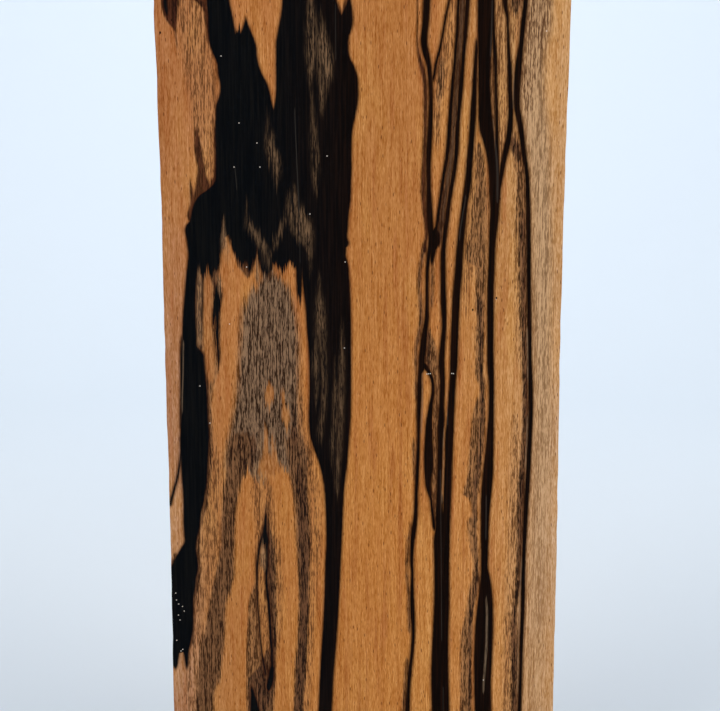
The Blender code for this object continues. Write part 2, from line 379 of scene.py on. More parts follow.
# Brown smoke between the lines.
SMOKE = {
    "spindle left smoke": (
        (590, 252, 257.4), (604, 249, 258), (630, 247.6, 259.6), (655, 247, 262), (680, 246.8, 266),
        (711, 247, 268), (780, 250, 266), (850, 256, 264),
    ),
    "strand DE": (
        (150, 476, 482), (163, 475.6, 484), (180, 475, 485.4), (190, 474, 486.4), (200, 472.8, 487.4),
        (212, 472, 487.4), (226, 470.6, 487), (240, 469, 486.6), (249, 466.6, 486.4), (256, 465.4, 486),
        (262, 469, 485.8), (266, 474.6, 486), (275, 475.6, 485.6), (287, 476, 484.8), (302, 474.8, 484.4),
        (310, 475.6, 484), (320, 477, 483.8), (333, 475.2, 483.6), (348, 475.4, 483.2),
        (364, 475.6, 483.2), (371, 475, 483), (380, 477, 484.2), (387, 479.6, 484.6), (393, 479.4, 484.2),
        (400, 477, 484.2), (409, 474, 484.6), (419, 472.5, 484.6), (432, 471.4, 484), (446, 470, 483.6),
        (464, 468.5, 481.5), (477, 467.5, 480.4), (487, 464.6, 479), (494, 463.6, 478),
        (498, 468.4, 477.6), (505, 471.6, 476.8), (514, 471.6, 476.8), (522, 468.2, 477.4),
        (530, 468, 476.6), (539, 469.2, 477), (552, 470.6, 478.2), (566, 473, 478.7), (577, 472, 479.2),
        (590, 469, 477.9), (604, 467, 474.8), (617, 465, 473.1), (631, 461.7, 472.5), (645, 460.9, 472),
        (658, 460.9, 471.2), (690, 460.4, 471.6), (711, 460, 471.4), (790, 455, 470), (870, 449, 466),
    ),
    "flames left": (
        (266, 200, 218), (276, 198, 219), (290, 196.6, 221), (310, 196.4, 220), (330, 197, 219.6),
        (350, 200, 219.6), (370, 205, 219), (390, 207.6, 213), (410, 208.4, 211.6), (430, 209.6, 213),
        (470, 208.4, 212),
    ),
    "inside left strand": ((560, 172, 178), (600, 172.4, 177), (640, 173, 177)),
    "A to C": (
        (336, 427.4, 432), (348, 426.6, 436.6), (360, 426.4, 438), (372, 431, 439.2), (385, 435.2, 440.4),
        (400, 434, 440), (420, 433, 438), (450, 433, 437.4), (480, 431.6, 436.8), (500, 432, 436.4),
        (518, 434, 436.4),
    ),
    "B to C low": ((62, 440, 443.6), (75, 438.4, 444), (90, 437, 442.6), (104, 436.4, 440.4)),
    "E to F": ((20, 489.6, 492.4), (61, 489.8, 493.6), (92, 490.6, 494), (120, 493, 494.8)),
    "H fringe": (
        (140, 511.6, 518), (150, 512.4, 522.6), (161, 514.6, 524.6), (175, 516, 525.2), (188, 516.6, 526),
        (202, 516.8, 526), (220, 516.8, 525.8), (240, 517.7, 526), (276, 519.3, 526.2),
        (313, 520.3, 526.6), (349, 521.2, 527), (395, 522.8, 528), (427, 522, 527.6), (455, 520.3, 526.4),
        (491, 517.5, 524.2), (527, 517, 523.2), (554, 516.5, 521.8), (587, 515.2, 520),
        (606, 512.8, 517.6), (624, 511.2, 517), (642, 510.4, 517.2), (678, 511.2, 517.7),
        (705, 512, 517.2), (790, 509, 514), (870, 506, 511),
    ),
}

# The dull oval at the head of the legs.
OVAL = {
    "oval": (
        (277, 264, 277), (283, 257.6, 284), (289, 253.4, 288.4), (296, 248.4, 292), (304, 244.6, 294.2),
        (313, 242, 295.8), (330, 240.4, 298), (347, 239.4, 299.2), (364, 238.4, 299), (381, 237.6, 299),
        (407, 235, 299), (420, 232, 299), (434, 229, 300), (448, 226.6, 303.4), (463, 225, 307),
    ),
}

# Olive brown wood inside the middle lines.
OLIVE = {
    "C core": (
        (-100, 470.6, 474), (0, 460, 465.8), (31, 458.4, 463.4), (61, 456.2, 461.2), (92, 453.8, 458.8),
        (122, 451.4, 456.4), (153, 449, 454.6), (176, 445.4, 451.4), (199, 441.6, 447.2), (226, 438, 444),
        (240, 437, 441.6),
    ),
    "C low": ((404, 441, 443), (414, 441.4, 444), (424, 441.6, 443.8)),
}

# Pale wood with many brown fibres.
STREAKY = {
    "scaly left": (
        (-200, 178, 200), (-60, 178, 206), (0, 178.6, 206), (60, 184, 213), (100, 190, 217),
        (140, 196, 215), (170, 203, 215), (188, 206, 214),
    ),
    "left of leg": (
        (470, 207, 222), (500, 204.6, 219.6), (540, 199, 219), (580, 198, 213), (620, 194.6, 204),
        (670, 188, 197), (711, 184, 196), (870, 172, 186),
    ),
    "spindle veil": (
        (446, 262, 268), (470, 255, 272), (486, 252.6, 272), (506, 253, 273.8), (530, 256, 275.6),
        (546, 256, 280), (580, 255, 282.6), (610, 256, 282), (640, 262, 279),
    ),
    "right of oval": (
        (420, 298, 304), (440, 300, 309), (470, 307, 316), (500, 308.6, 320), (540, 309.6, 321),
        (580, 309, 317), (640, 307, 313), (711, 302, 309), (870, 294, 302),
    ),
    "B to C": (
        (-200, 470, 484), (-100, 461, 466), (0, 450.4, 457), (31, 445.4, 455.4), (55, 440, 453.2),
        (70, 437, 452.2), (92, 434.8, 445), (120, 434, 441),
    ),
    "strand left": ((166, 471, 475), (190, 470, 474), (240, 466, 470), (262, 464, 474), (290, 464, 468)),
    "left branch": ((250, 465.4, 468.6), (266, 465.2, 467.6), (280, 464.8, 466.2)),
    "F to G top": (
        (-100, 498, 503), (0, 495.6, 503), (20, 496, 504.6), (40, 497, 502.6), (62, 498, 501),
        (84, 498.4, 500.4),
    ),
    "F to G": (
        (-100, 500, 506), (0, 495, 504), (30, 495.6, 507.4), (61, 497.2, 507.8), (92, 498, 507.4),
        (122, 498, 507.4), (153, 498, 503.4), (172, 498, 500),
    ),
    "G to H": ((-100, 507, 532), (0, 508.4, 523), (26, 510, 520), (40, 511, 515)),
    "left of H high": (
        (152, 512, 517), (176, 513, 518), (230, 514.8, 519), (290, 516, 520.8), (340, 516.6, 520.8),
    ),
    "left of H low": (
        (440, 512, 519), (480, 509.6, 517), (540, 509, 516.4), (600, 504.6, 513.6), (660, 504, 512),
        (711, 503.4, 511.4), (870, 498, 506),
    ),
    "right of H top": ((-200, 560, 584), (-60, 538, 558), (0, 529, 551), (40, 526, 545), (90, 522, 534)),
}

# Pale wood that has greyed.
GREYED = {
    "right of H": (
        (-200, 556, 584), (-100, 542, 568), (0, 528, 552), (27, 526, 551), (41, 525, 547), (55, 523, 545),
        (82, 521, 545), (100, 520.5, 545.6), (130, 524, 548), (175, 529.6, 550), (240, 532, 551),
        (300, 532, 551), (400, 534, 551.4), (470, 532, 550), (560, 527.6, 546), (640, 524.6, 543),
        (711, 523, 541), (870, 518, 536),
    ),
}

# Browner patches inside the black, with long soft streaks.
SMEARS = {
    "smear 1": ((0, 308, 313), (20, 306.4, 316), (40, 305.6, 317), (60, 306.6, 316), (72, 308, 312)),
    "smear 2": (
        (30, 318, 325), (44, 317, 329.6), (58, 316.6, 333), (72, 317.4, 333), (83, 318.4, 330),
        (96, 319, 325),
    ),
    "smear 3": (
        (106, 311.4, 312.6), (120, 310.8, 315), (140, 310.4, 316.6), (160, 312, 319), (175, 313, 318),
    ),
    "smear 4": (
        (128, 267, 269), (136, 266, 273.4), (147, 264.8, 274.8), (157, 267.6, 280), (167, 272, 281),
    ),
    "smear 5": (
        (293, 317.6, 321), (306, 316, 324), (318, 315.6, 325), (332, 317, 326), (345, 319.4, 325.8),
        (362, 321, 326.4), (384, 322, 326.8), (408, 322.4, 326.4), (424, 318, 323),
    ),
    "smear 6": ((382, 334.4, 336.4), (396, 333.4, 337.6), (420, 332.8, 337.2), (446, 331.4, 334)),
    "smear 7": (
        (340, 341, 342.8), (364, 339.6, 344), (390, 339, 344.2), (420, 338.2, 343.4), (446, 337.6, 341.6),
        (476, 335.6, 339),
    ),
    "V left": (
        (217, 246, 247.4), (223, 245.6, 251), (230, 248, 257), (236, 252.4, 261), (242, 257, 264.6),
        (249, 262, 267.4),
    ),
    "V patch": (
        (206, 290, 300), (213, 288.6, 305.4), (222, 289.8, 311), (232, 291.4, 313.4), (238, 295.6, 313.4),
        (244, 301.8, 313), (252, 307.6, 312.4),
    ),
    "V right": (
        (211, 286.6, 290.4), (220, 283, 287.4), (228, 280, 284.4), (236, 276.6, 281.2), (243, 273, 277.8),
        (250, 269.6, 273.8), (255, 267.4, 270.6),
    ),
    "sliver": ((346, 314, 316.4), (360, 313, 317.8), (376, 313.4, 318), (388, 314.6, 317.8)),
    "knot seam": ((-100, 169.6, 171.4), (0, 169.4, 171.4), (14, 169.8, 171.6), (22, 170.4, 172)),
}

# Thin pale threads and marks inside the black. The edge sheen is a painted sheen along the left
# strand's edge.
THREADS_AND_EDGE_SHEEN = {
    "edge sheen": ((344, 182.9, 183.9), (362, 182.6, 183.6), (382, 182.3, 183.2), (410, 182, 182.6)),
    "E core": (
        (600, 485.6, 487), (612, 486, 488), (640, 485.4, 487.6), (668, 483.8, 485.8), (690, 482.6, 484.2),
    ),
    "CD lower": ((430, 443.7, 444.3), (440, 443.2, 444), (470, 443, 443.8), (500, 441.6, 442.4)),
    "H middle": ((330, 526.6, 527.6), (352, 527, 528.2), (378, 527.2, 528.2)),
    "H low": ((420, 526.8, 527.9), (440, 526.2, 527.2), (465, 525, 526)),
    "H foot": (
        (560, 521, 521.7), (586, 519.7, 520.5), (604, 518.4, 519.8), (618, 518, 519.6),
        (650, 517.4, 518.4), (690, 517.2, 518),
    ),
    "A right of lens": ((376, 421.8, 422.8), (400, 421.9, 422.9), (430, 420.8, 422)),
}

# What stays pale inside the dark wood, either dull brown or as bright as the pale wood itself.
DULL_INSIDE = {
    "light column": (
        (276, 198.2, 200.2), (284, 197.8, 202), (300, 196.8, 201.4), (318, 197, 200.6), (336, 197.8, 203),
        (347, 198.2, 200.8),
    ),
    "light wedge": ((276, 219.4, 220.4), (283, 217.8, 221.8), (289, 217.4, 221.4)),
    "tongue": (
        (222, 223.4, 224.2), (232, 222.6, 224.8), (242, 221.6, 226.4), (252, 221.8, 228.4),
        (260, 223, 230),
    ),
    "spike": ((259, 256.4, 257.2), (266, 256, 258.4), (273, 255.4, 259.6)),
    "oval tongue left": (
        (434, 259, 260), (442, 258, 261.4), (452, 257.4, 262), (462, 256.4, 265), (474, 251, 270),
    ),
    "oval tongue right": ((441, 284.6, 285.8), (446, 284.6, 287), (450, 285.4, 286.8)),
    "spindle inside": ((548, 262.4, 265.2), (556, 261.2, 265.6), (566, 260.4, 265.6)),
}

PALE_INSIDE = {
    "orange column": (
        (274, 207, 209), (279, 205.2, 211), (290, 204.2, 211.4), (310, 204, 211), (330, 203.8, 211.4),
        (350, 204.4, 213.4), (365, 206, 214), (380, 208.4, 213.6),
    ),
    "tongue foot": ((256, 222, 230), (264, 221.4, 234.6), (276, 219, 239)),
    "oval inclusion 1": (
        (384, 268.4, 270), (388, 265.4, 273), (394, 265, 274), (400, 266, 273), (404, 268, 271),
    ),
    "oval inclusion 2": (
        (403, 284.4, 285.6), (408, 282.8, 288.6), (414, 281.8, 289.4), (420, 282.8, 289.4),
        (427, 285.4, 287.6),
    ),
    "oval inclusion 3": ((392, 282, 283), (398, 282, 285.4), (405, 283.4, 285.6)),
    "oval tongue middle left": (
        (428, 265, 266.2), (436, 264, 267.6), (446, 263.6, 268), (456, 262.6, 270), (470, 258, 276),
    ),
    "oval tongue middle right": (
        (438, 272, 273.4), (446, 271.8, 274.8), (456, 271.4, 276), (466, 270, 280), (480, 268, 289),
    ),
}

# Fine scratches in the skin of the figured face. CD upper, D sheen, G edge, FG seam, E right and
# E middle are painted sheens along the lines, drawn as pale marks in the colour.
SCRATCHES_AND_SHEENS = {
    "CD upper": ((384, 446.6, 447.8), (405, 446.8, 448), (424, 447, 448.2)),
    "D sheen": ((196, 464.8, 466), (215, 462, 463.2), (240, 459, 460)),
    "G edge": ((66, 513, 514), (80, 512.9, 514.6), (95, 512.6, 514.2), (108, 512.6, 513.8)),
    "FG seam": (
        (120, 492.6, 494.2), (135, 494, 495), (155, 495.4, 497.4), (175, 496.4, 498.6), (202, 496.6, 498),
    ),
    "E right": ((0, 491.8, 492.8), (20, 491.4, 492.6), (40, 490.6, 492), (56, 490, 491.2)),
    "E middle": ((496, 485.6, 486.7), (520, 485.4, 486.6), (539, 485.2, 486.2)),
    "long scratch": ((108, 294.4, 295.2), (150, 295.9, 296.8), (180, 297.2, 298.2), (212, 298.6, 299.5)),
    "long scratch low": ((212, 298.8, 299.3), (262, 299.9, 300.4)),
    "short scratch": ((166, 234.4, 235.2), (180, 235.6, 236.4), (190, 236.4, 237)),
    "lobe scratch": ((3, 335.2, 335.8), (60, 335.4, 336)),
    "CD foot scratch": ((688, 443, 443.6), (760, 442.6, 443.2)),
    "CD scratch": ((470, 440.2, 440.8), (560, 441, 441.6), (640, 441.4, 442)),
}

# Small pale nicks and dark specks in the face, each at a picture pixel.
NICKS = (
    (546.8, 31), (221, 56), (239, 123), (257, 143), (327, 156), (234, 167), (260, 167), (310, 214),
    (345, 262), (246.6, 267), (496, 299), (229.5, 324), (344.4, 348), (451.8, 373.4), (430.2, 373.6),
    (453.4, 373.6), (428.4, 373.8), (426.8, 374), (200, 386), (210, 423), (175.6, 593), (176.4, 600),
    (178.6, 604), (182.4, 606.4), (184.2, 611), (178.4, 615), (180, 620), (176.8, 640), (182.8, 649.4),
    (181, 651), (483.4, 680),
)
DARK_SPECKS = ((160.3, 32.6), (472.6, 309.8), (496.3, 298), (286, 404), (171.6, 20))

# Past its last row a streak closes in a point, and further off it is out of reach of every soft edge.
POINT_INSET = 2
FAR_LINES = 20
FAR_INSET = 24

# Streaks that share a pair of curves span no more picture lines than this, so that the curves stay exact.
STACK_LINES = 560


def with_points(rows, point_lines):
    """The streak's rows, with the rows added that close it above and below."""
    first, last = rows[0], rows[-1]
    above = []
    below = []
    for lines, inset in ((point_lines + FAR_LINES, FAR_INSET), (point_lines, POINT_INSET)):
        middle = (first[1] + first[2]) / 2
        above.append((first[0] - lines, middle + inset, middle - inset))
        middle = (last[1] + last[2]) / 2
        below.insert(0, (last[0] + lines, middle + inset, middle - inset))
    return (*above, *rows, *below)


def stacks(streaks, point_lines):
    """Joins streaks that lie well above one another, so that they share a pair of curves."""
    groups = []
    for rows in sorted(streaks.values(), key=lambda rows: rows[0][0]):
        pointed = with_points(rows, point_lines)
        for group in groups:
            if group[-1][0] < pointed[0][0] and pointed[-1][0] - group[0][0] < STACK_LINES:
                group.extend(pointed)
                break
        else:
            groups.append(list(pointed))
    return groups


def feed(tree, socket, value):
    """Links another node's output to a socket, or sets a plain value on it."""
    if isinstance(value, bpy.types.NodeSocket):
        tree.links.new(value, socket)
    else:
        socket.default_value = value


def calc(tree, operation, *values):
    node = tree.nodes.new("ShaderNodeMath")
    node.operation = operation
    for socket, value in zip(node.inputs, values):
        feed(tree, socket, value)
    return node.outputs["Value"]


def product(tree, *values):
    """Multiplies any number of values."""
    result = values[0]
    for value in values[1:]:
        result = calc(tree, "MULTIPLY", result, value)
    return result


def nearest(tree, distances):
    """The smallest of any number of distances."""
    result = distances[0]
    for distance in distances[1:]:
        result = calc(tree, "MINIMUM", result, distance)
    return result


def swing(tree, value, reach):
    """Turns a grain, from 0 to 1, into a swing of so much to either side of nothing."""
    return calc(tree, "MULTIPLY_ADD", value, 2 * reach, -reach)


def fade(tree, value, start, end, low=0.0, high=1.0):
    """Goes smoothly from low, at start, to high, at end."""
    node = tree.nodes.new("ShaderNodeMapRange")
    node.interpolation_type = "SMOOTHSTEP"
    names = ("Value", "From Min", "From Max", "To Min", "To Max")
    for name, setting in zip(names, (value, start, end, low, high)):
        feed(tree, node.inputs[name], setting)
    return node.outputs["Result"]


def place_of(tree, x, y, z=0.0):
    node = tree.nodes.new("ShaderNodeCombineXYZ")
    for socket, value in zip(node.inputs, (x, y, z)):
        feed(tree, socket, value)
    return node.outputs["Vector"]


def stretched(tree, place, width, length, shift):
    """The place in a grain whose marks are so wide and so long, in millimetres."""
    node = tree.nodes.new("ShaderNodeMapping")
    feed(tree, node.inputs["Vector"], place)
    node.inputs["Location"].default_value = (shift, shift, shift)
    node.inputs["Scale"].default_value = (1 / width, 1 / width, 1 / length)
    return node.outputs["Vector"]


def grain(tree, place, width, length, detail, roughness, shift):
    """Soft marks that run along the board, from 0 to 1."""
    node = tree.nodes.new("ShaderNodeTexNoise")
    feed(tree, node.inputs["Vector"], stretched(tree, place, width, length, shift))
    node.inputs["Scale"].default_value = 1.0
    node.inputs["Detail"].default_value = detail
    node.inputs["Roughness"].default_value = roughness
    return node.outputs["Fac"]


# A dash is full up to this part of its reach, and the cells that hold one fade in over this much of a share.
DASH_CORE = 0.45
DASH_SOFTNESS = 0.2


def dashes(tree, place, width, length, reach, share, shift):
    """Separate short dashes along the grain: one in each cell, drawn in this share of the cells."""
    node = tree.nodes.new("ShaderNodeTexVoronoi")
    feed(tree, node.inputs["Vector"], stretched(tree, place, width, length, shift))
    node.inputs["Scale"].default_value = 1.0
    split = tree.nodes.new("ShaderNodeSeparateColor")
    feed(tree, split.inputs["Color"], node.outputs["Color"])
    near = fade(tree, node.outputs["Distance"], reach, reach * DASH_CORE)
    kept = fade(tree, split.outputs["Red"], share, share - DASH_SOFTNESS)
    return product(tree, near, kept)


def mixed(tree, share, first, second, blend="MIX"):
    node = tree.nodes.new("ShaderNodeMix")
    node.data_type = "RGBA"
    node.blend_type = blend
    feed(tree, node.inputs["Factor"], share)
    feed(tree, node.inputs["A"], first)
    feed(tree, node.inputs["B"], second)
    return node.outputs["Result"]


def ramp(tree, value, stops):
    node = tree.nodes.new("ShaderNodeValToRGB")
    elements = node.color_ramp.elements
    while len(elements) < len(stops):
        elements.new(0.5)
    for element, (position, color) in zip(elements, stops):
        element.position = position
        element.color = color
    feed(tree, node.inputs["Fac"], value)
    return node.outputs["Color"]


def edge_curve(tree, height, places):
    """A smooth curve through the places, read at a height."""
    node = tree.nodes.new("ShaderNodeFloatCurve")
    mapping = node.mapping
    mapping.use_clip = False
    mapping.extend = "HORIZONTAL"
    points = mapping.curves[0].points
    places = sorted(places)
    points[0].location = places[0]
    points[1].location = places[-1]
    for place in places[1:-1]:
        points.new(*place)
    for point in points:
        point.handle_type = "AUTO_CLAMPED"
    mapping.update()
    feed(tree, node.inputs["Value"], height)
    return node.outputs["Value"]


def outside_streak(tree, across, height, rows):
    """How far a place lies beside a streak, in millimetres. It is negative inside the streak."""
    middles = []
    halves = []
    for line, left, right in rows:
        left_x, z = face_place(left, line)
        right_x, z = face_place(right, line)
        middles.append((z, (left_x + right_x) / 2))
        halves.append((z, (right_x - left_x) / 2))
    aside = calc(tree, "SUBTRACT", across, edge_curve(tree, height, middles))
    return calc(tree, "SUBTRACT", calc(tree, "ABSOLUTE", aside), edge_curve(tree, height, halves))


def paint(red, green, blue):
    """A colour given on the usual scale from 0 to 255, as the linear one that shaders take."""
    shares = [part / 255 for part in (red, green, blue)]
    linear = [part / 12.92 if part <= 0.04045 else ((part + 0.055) / 1.055) ** 2.4 for part in shares]
    return (*linear, 1.0)


# The pale wood changes across the board, from left to right: a place in millimetres and its colour. It
# also changes along the board, from the upper row of colours to the lower one. Besides the wood's own
# colour the rows hold painted light and shade: the right side is painted lighter, the upper row is
# painted darker against the stronger light from above, and the far left of the lower row is a painted
# greyish sheen.
PALE_WOOD_AND_PAINTED_LIGHT_HIGH = (
    (-58, paint(164, 105, 61)),
    (-46, paint(170, 111, 65)),
    (-33, paint(172, 110, 60)),
    (8, paint(171, 111, 58)),
    (22, paint(174, 113, 62)),
    (31, paint(176, 121, 69)),
    (42, paint(180, 130, 79)),
    (58, paint(190, 144, 97)),
)
PALE_WOOD_AND_PAINTED_LIGHT_LOW = (
    (-58, paint(170, 128, 98)),
    (-51, paint(170, 120, 82)),
    (-46, paint(170, 113, 64)),
    (-33, paint(173, 112, 58)),
    (8, paint(182, 118, 58)),
    (22, paint(184, 121, 62)),
    (31, paint(185, 124, 67)),
    (42, paint(188, 131, 76)),
    (58, paint(186, 147, 108)),
)
RED_WOOD = paint(154, 88, 44)
YELLOW_WOOD = paint(198, 142, 76)
PORE = paint(92, 48, 20)
RIM_COLOR = paint(74, 36, 15)
# The colour of the pale threads and of the painted edge sheen.
THREAD_AND_SHEEN_COLOR = paint(130, 108, 86)
# The colour of the scratches and of the painted sheens along the lines.
SCRATCH_AND_SHEEN_COLOR = paint(120, 112, 104)
NICK_COLOR = paint(222, 214, 204)
SPECK_COLOR = paint(40, 18, 10)
END_COLOR = paint(60, 36, 20)

# Each kind of darker wood has a colour for its dark fibres and one for its pale ones.
TONES = {
    "greyed": (paint(122, 94, 68), paint(192, 156, 118)),
    "streaky": (paint(80, 50, 30), paint(146, 104, 68)),
    "oval": (paint(30, 19, 13), paint(132, 104, 80)),
    "smoke": (paint(54, 32, 17), paint(156, 109, 68)),
    "legs": (paint(36, 19, 10), paint(120, 83, 54)),
    "olive": (paint(14, 9, 6), paint(76, 57, 42)),
    "dark brown": (paint(22, 13, 8), paint(100, 66, 44)),
    "reddish": (paint(24, 9, 5), paint(68, 31, 19)),
    "cool black": (paint(1, 3, 6), paint(11, 11, 11)),
    "warm black": (paint(8, 2, 0), paint(26, 9, 2)),
    "smears": (paint(30, 22, 16), paint(118, 91, 66)),
    "dull": (paint(84, 60, 42), paint(152, 117, 84)),
}

# How each kind of streak is drawn. Its points reach so many picture lines past it. Its edges are uneven by
# so many millimetres, and smooth or jagged. It starts to show at the first distance beside its edge and is
# full at the second, both in millimetres, and then covers this share of what lies under it. Feathered wood
# is black wood, so it fades in as the black does.
Kind = namedtuple("Kind", "streaks points uneven edge start full cover")
KINDS = {
    "greyed": Kind(GREYED, 30, 3.0, "smooth", 2.2, -1.8, 0.85),
    "streaky": Kind(STREAKY, 30, 3.0, "jagged", 1.2, -1.0, 1.0),
    "oval": Kind(OVAL, 14, 3.2, "jagged", 1.9, -1.5, 0.97),
    "smoke": Kind(SMOKE, 10, 1.6, "smooth", 0.55, -0.45, 0.93),
    "legs": Kind(LEGS, 12, 2.0, "jagged", 0.75, -0.6, 0.97),
    "olive": Kind(OLIVE, 10, 1.4, "smooth", 0.6, -0.4, 0.95),
    "dark brown": Kind(DARK_BROWN, 8, 1.4, "smooth", 0.75, -0.4, 0.92),
    "reddish": Kind(REDDISH, 8, 0.8, "smooth", 0.5, -0.4, 0.93),
    "black": Kind(BLACK, 5, 0.36, "smooth", 0.4, -0.28, 1.0),
    "feathered": Kind(FEATHERED, 6, 0.8, "jagged", 0.4, -0.28, 1.0),
    "smears": Kind(SMEARS, 22, 3.0, "jagged", 1.0, -1.2, 1.0),
    "threads": Kind(THREADS_AND_EDGE_SHEEN, 8, 0.5, "smooth", 0.2, -0.14, 1.0),
    "dull": Kind(DULL_INSIDE, 8, 2.0, "jagged", 0.5, -0.4, 0.85),
    "pale": Kind(PALE_INSIDE, 8, 2.0, "jagged", 0.5, -0.4, 0.74),
    "scratches and sheens": Kind(SCRATCHES_AND_SHEENS, 5, 0.0, "smooth", 0.1, -0.08, 0.1),
}
DARKER_KINDS = ("greyed", "streaky", "oval", "smoke", "legs", "olive", "dark brown", "reddish")

# The grains of the wood: how wide and how long their marks are in millimetres, how many finer layers they
# have, how strong those are, and a shift that makes one differ from the next.
GRAINS = {
    "wander": (14.0, 70.0, 2.0, 0.5, 0.0),
    "deep wave": (9.0, 90.0, 2.0, 0.5, 31.0),
    "splinter": (0.7, 50.0, 1.0, 0.5, 7.0),
    "bristle": (0.24, 30.0, 1.0, 0.5, 17.0),
    "hair": (0.2, 1.4, 1.0, 0.5, 23.0),
    "fibre": (0.3, 3.4, 1.0, 0.5, 43.0),
    "thread": (0.3, 15.0, 1.0, 0.5, 0.0),
    "strand": (1.7, 30.0, 2.0, 0.6, 13.0),
    "cloud": (9.0, 34.0, 2.0, 0.5, 5.0),
    "blotch": (0.9, 5.0, 2.0, 0.6, 61.0),
}
SAW_GRAIN = (1.0, 1.0, 2.0, 0.5, 0.0)

# The pores: their cell's width and length in millimetres, their reach in it, their share of the cells, and
# their shift.
PORES = (1.0, 4.6, 0.17, 0.9, 0.0)
FINE_PORES = (0.55, 2.6, 0.2, 0.8, 3.0)
FINE_PORE_STRENGTH = 0.6
PORE_COVER = 0.86

# Each soft change: where it starts and ends and, where it isn't from 0 to 1, what it goes from and to.
FADES = {
    "from high to low": (232.0, 96.0),
    "reddish strands": (0.52, 0.28, 0.0, 0.55),
    "less red at the right": (40.0, 50.0, 1.0, 0.2),
    "yellow clouds": (0.45, 0.8, 0.0, 0.4),
    "pale fibres": (0.6, 0.82),
    "blotches": (0.34, 0.56),
    "greyed fibres": (0.58, 0.84),
    "more grey higher up": (50.0, 190.0, 0.5, 1.0),
    "streaks between fibres": (0.8, 0.58, 0.15, 0.8),
    "rim": (0.95, 0.1, 0.0, 0.5),
    "sheen": (0.4, 0.7),
    "cool to warm black": (-34.0, 14.0),
    "smears on threads": (0.3, 0.6, 0.45, 1.0),
    "broken threads": (0.5, 0.9, 0.15, 0.65),
    "skin": (0.3, 0.1),
    "spot": (1.2, 0.6),
    "end": (0.9, 0.4),
}

# How strongly each grain tells in the mixes of them, and how much blotches tell in what they lie in.
FINE_MIX = {"hair": 0.5, "fibre": 0.5, "thread": 0.4}
EDGE_MIX = {"hair": 0.4, "thread": 0.6}
EDGE_BASE = -0.5
BAND_SWING = 0.175
TONE_MIX = {"hair": 1.34, "fibre": 0.7, "thread": 0.9}
TONE_BASE = -0.46
SHADING_BLOTCH = 0.35
SMEAR_BLOTCH = 0.5

# Dark fibres are warmer than pale ones: the tone's power for red and for blue.
RED_POWER = 0.65
BLUE_POWER = 1.7

# The board's heart lies behind the long flames, so the figure spreads away from there towards the back.
HEART_X = -28.0
SPREAD_PER_MM = 0.014
DRIFT_PER_MM = 1.4
TOP = LENGTH * MILLIMETRES
TOP_OF_FIGURE = TOP + 1.0

# How far the figure strays to either side, how far it does so for each millimetre of depth, and how far
# jagged edges reach up and down.
WANDER = 0.15
DEEP_WAVE = 0.18
SPLINTER = 3.0
BRISTLE = 4.0

# The width and height of nicks and dark specks, in millimetres.
NICK_SIZE = (0.17, 0.15)
SPECK_SIZE = (0.26, 0.4)

# How much the sawn ends are darkened, and how long and how wide their saw marks are, in millimetres.
END_COVER = 0.35
SAW_MARK_LENGTH = 34.0
SAW_MARK_WIDTH = 0.5

# The sheen of the planed wood, and how much rougher fibres, pores and sawn ends are.
SPECULAR_LEVEL = 0.04
ROUGHNESS = 0.4
FIBRE_ROUGHNESS = 0.2
PORE_ROUGHNESS = 0.2
END_ROUGHNESS = 0.15

# The relief, in millimetres.
FIBRE_RELIEF = 0.02
PORE_RELIEF = -0.05
SAW_RELIEF = 0.3
RELIEF_STRENGTH = 0.6
RELIEF_UNIT = 0.001


def blend_of(tree, grains, shares, base=0.0):
    """Adds up grains, each times its share, from a base."""
    total = base
    for name, share in shares.items():
        total = calc(tree, "MULTIPLY_ADD", grains[name], share, total)
    return total


def wood_fields(tree):
    """What the marks are worked out from: a place in millimetres, where its figure lies, and its grains."""
    coordinates = tree.nodes.new("ShaderNodeTexCoord")
    scale = tree.nodes.new("ShaderNodeVectorMath")
    scale.operation = "SCALE"
    feed(tree, scale.inputs["Vector"], coordinates.outputs["Object"])
    scale.inputs["Scale"].default_value = MILLIMETRES
    place = scale.outputs["Vector"]
    split = tree.nodes.new("ShaderNodeSeparateXYZ")
    feed(tree, split.inputs["Vector"], place)
    grains = {name: grain(tree, place, *numbers) for name, numbers in GRAINS.items()}
    x, y, z = split.outputs
    wood = SimpleNamespace(x=x, z=z, grains=grains)
    wood.depth = calc(tree, "MAXIMUM", calc(tree, "SUBTRACT", y, FACE_Y * MILLIMETRES), 0.0)

    squeeze = calc(tree, "MULTIPLY_ADD", wood.depth, -SPREAD_PER_MM, 1.0)
    across = calc(tree, "MULTIPLY_ADD", calc(tree, "SUBTRACT", x, HEART_X), squeeze, HEART_X)
    across = calc(tree, "MULTIPLY_ADD", wood.depth, swing(tree, grains["deep wave"], DEEP_WAVE), across)
    wood.across = calc(tree, "ADD", across, swing(tree, grains["wander"], WANDER))
    height = calc(tree, "MULTIPLY_ADD", wood.depth, DRIFT_PER_MM, z)
    height = calc(tree, "MINIMUM", height, TOP_OF_FIGURE)
    splinter = swing(tree, grains["splinter"], SPLINTER)
    jagged = calc(tree, "ADD", splinter, swing(tree, grains["bristle"], BRISTLE))
    wood.heights = {"smooth": height, "jagged": calc(tree, "ADD", height, jagged)}

    wood.fine = blend_of(tree, grains, FINE_MIX)
    wood.unevenness = blend_of(tree, grains, EDGE_MIX, EDGE_BASE)
    wood.pale_fibres = fade(tree, wood.fine, *FADES["pale fibres"])
    wood.blotches = fade(tree, grains["blotch"], *FADES["blotches"])
    fine_pores = product(tree, dashes(tree, place, *FINE_PORES), FINE_PORE_STRENGTH)
    wood.pore = calc(tree, "MAXIMUM", dashes(tree, place, *PORES), fine_pores)
    from_end = calc(tree, "MINIMUM", z, calc(tree, "SUBTRACT", TOP, z))
    wood.end = fade(tree, from_end, *FADES["end"])
    return wood


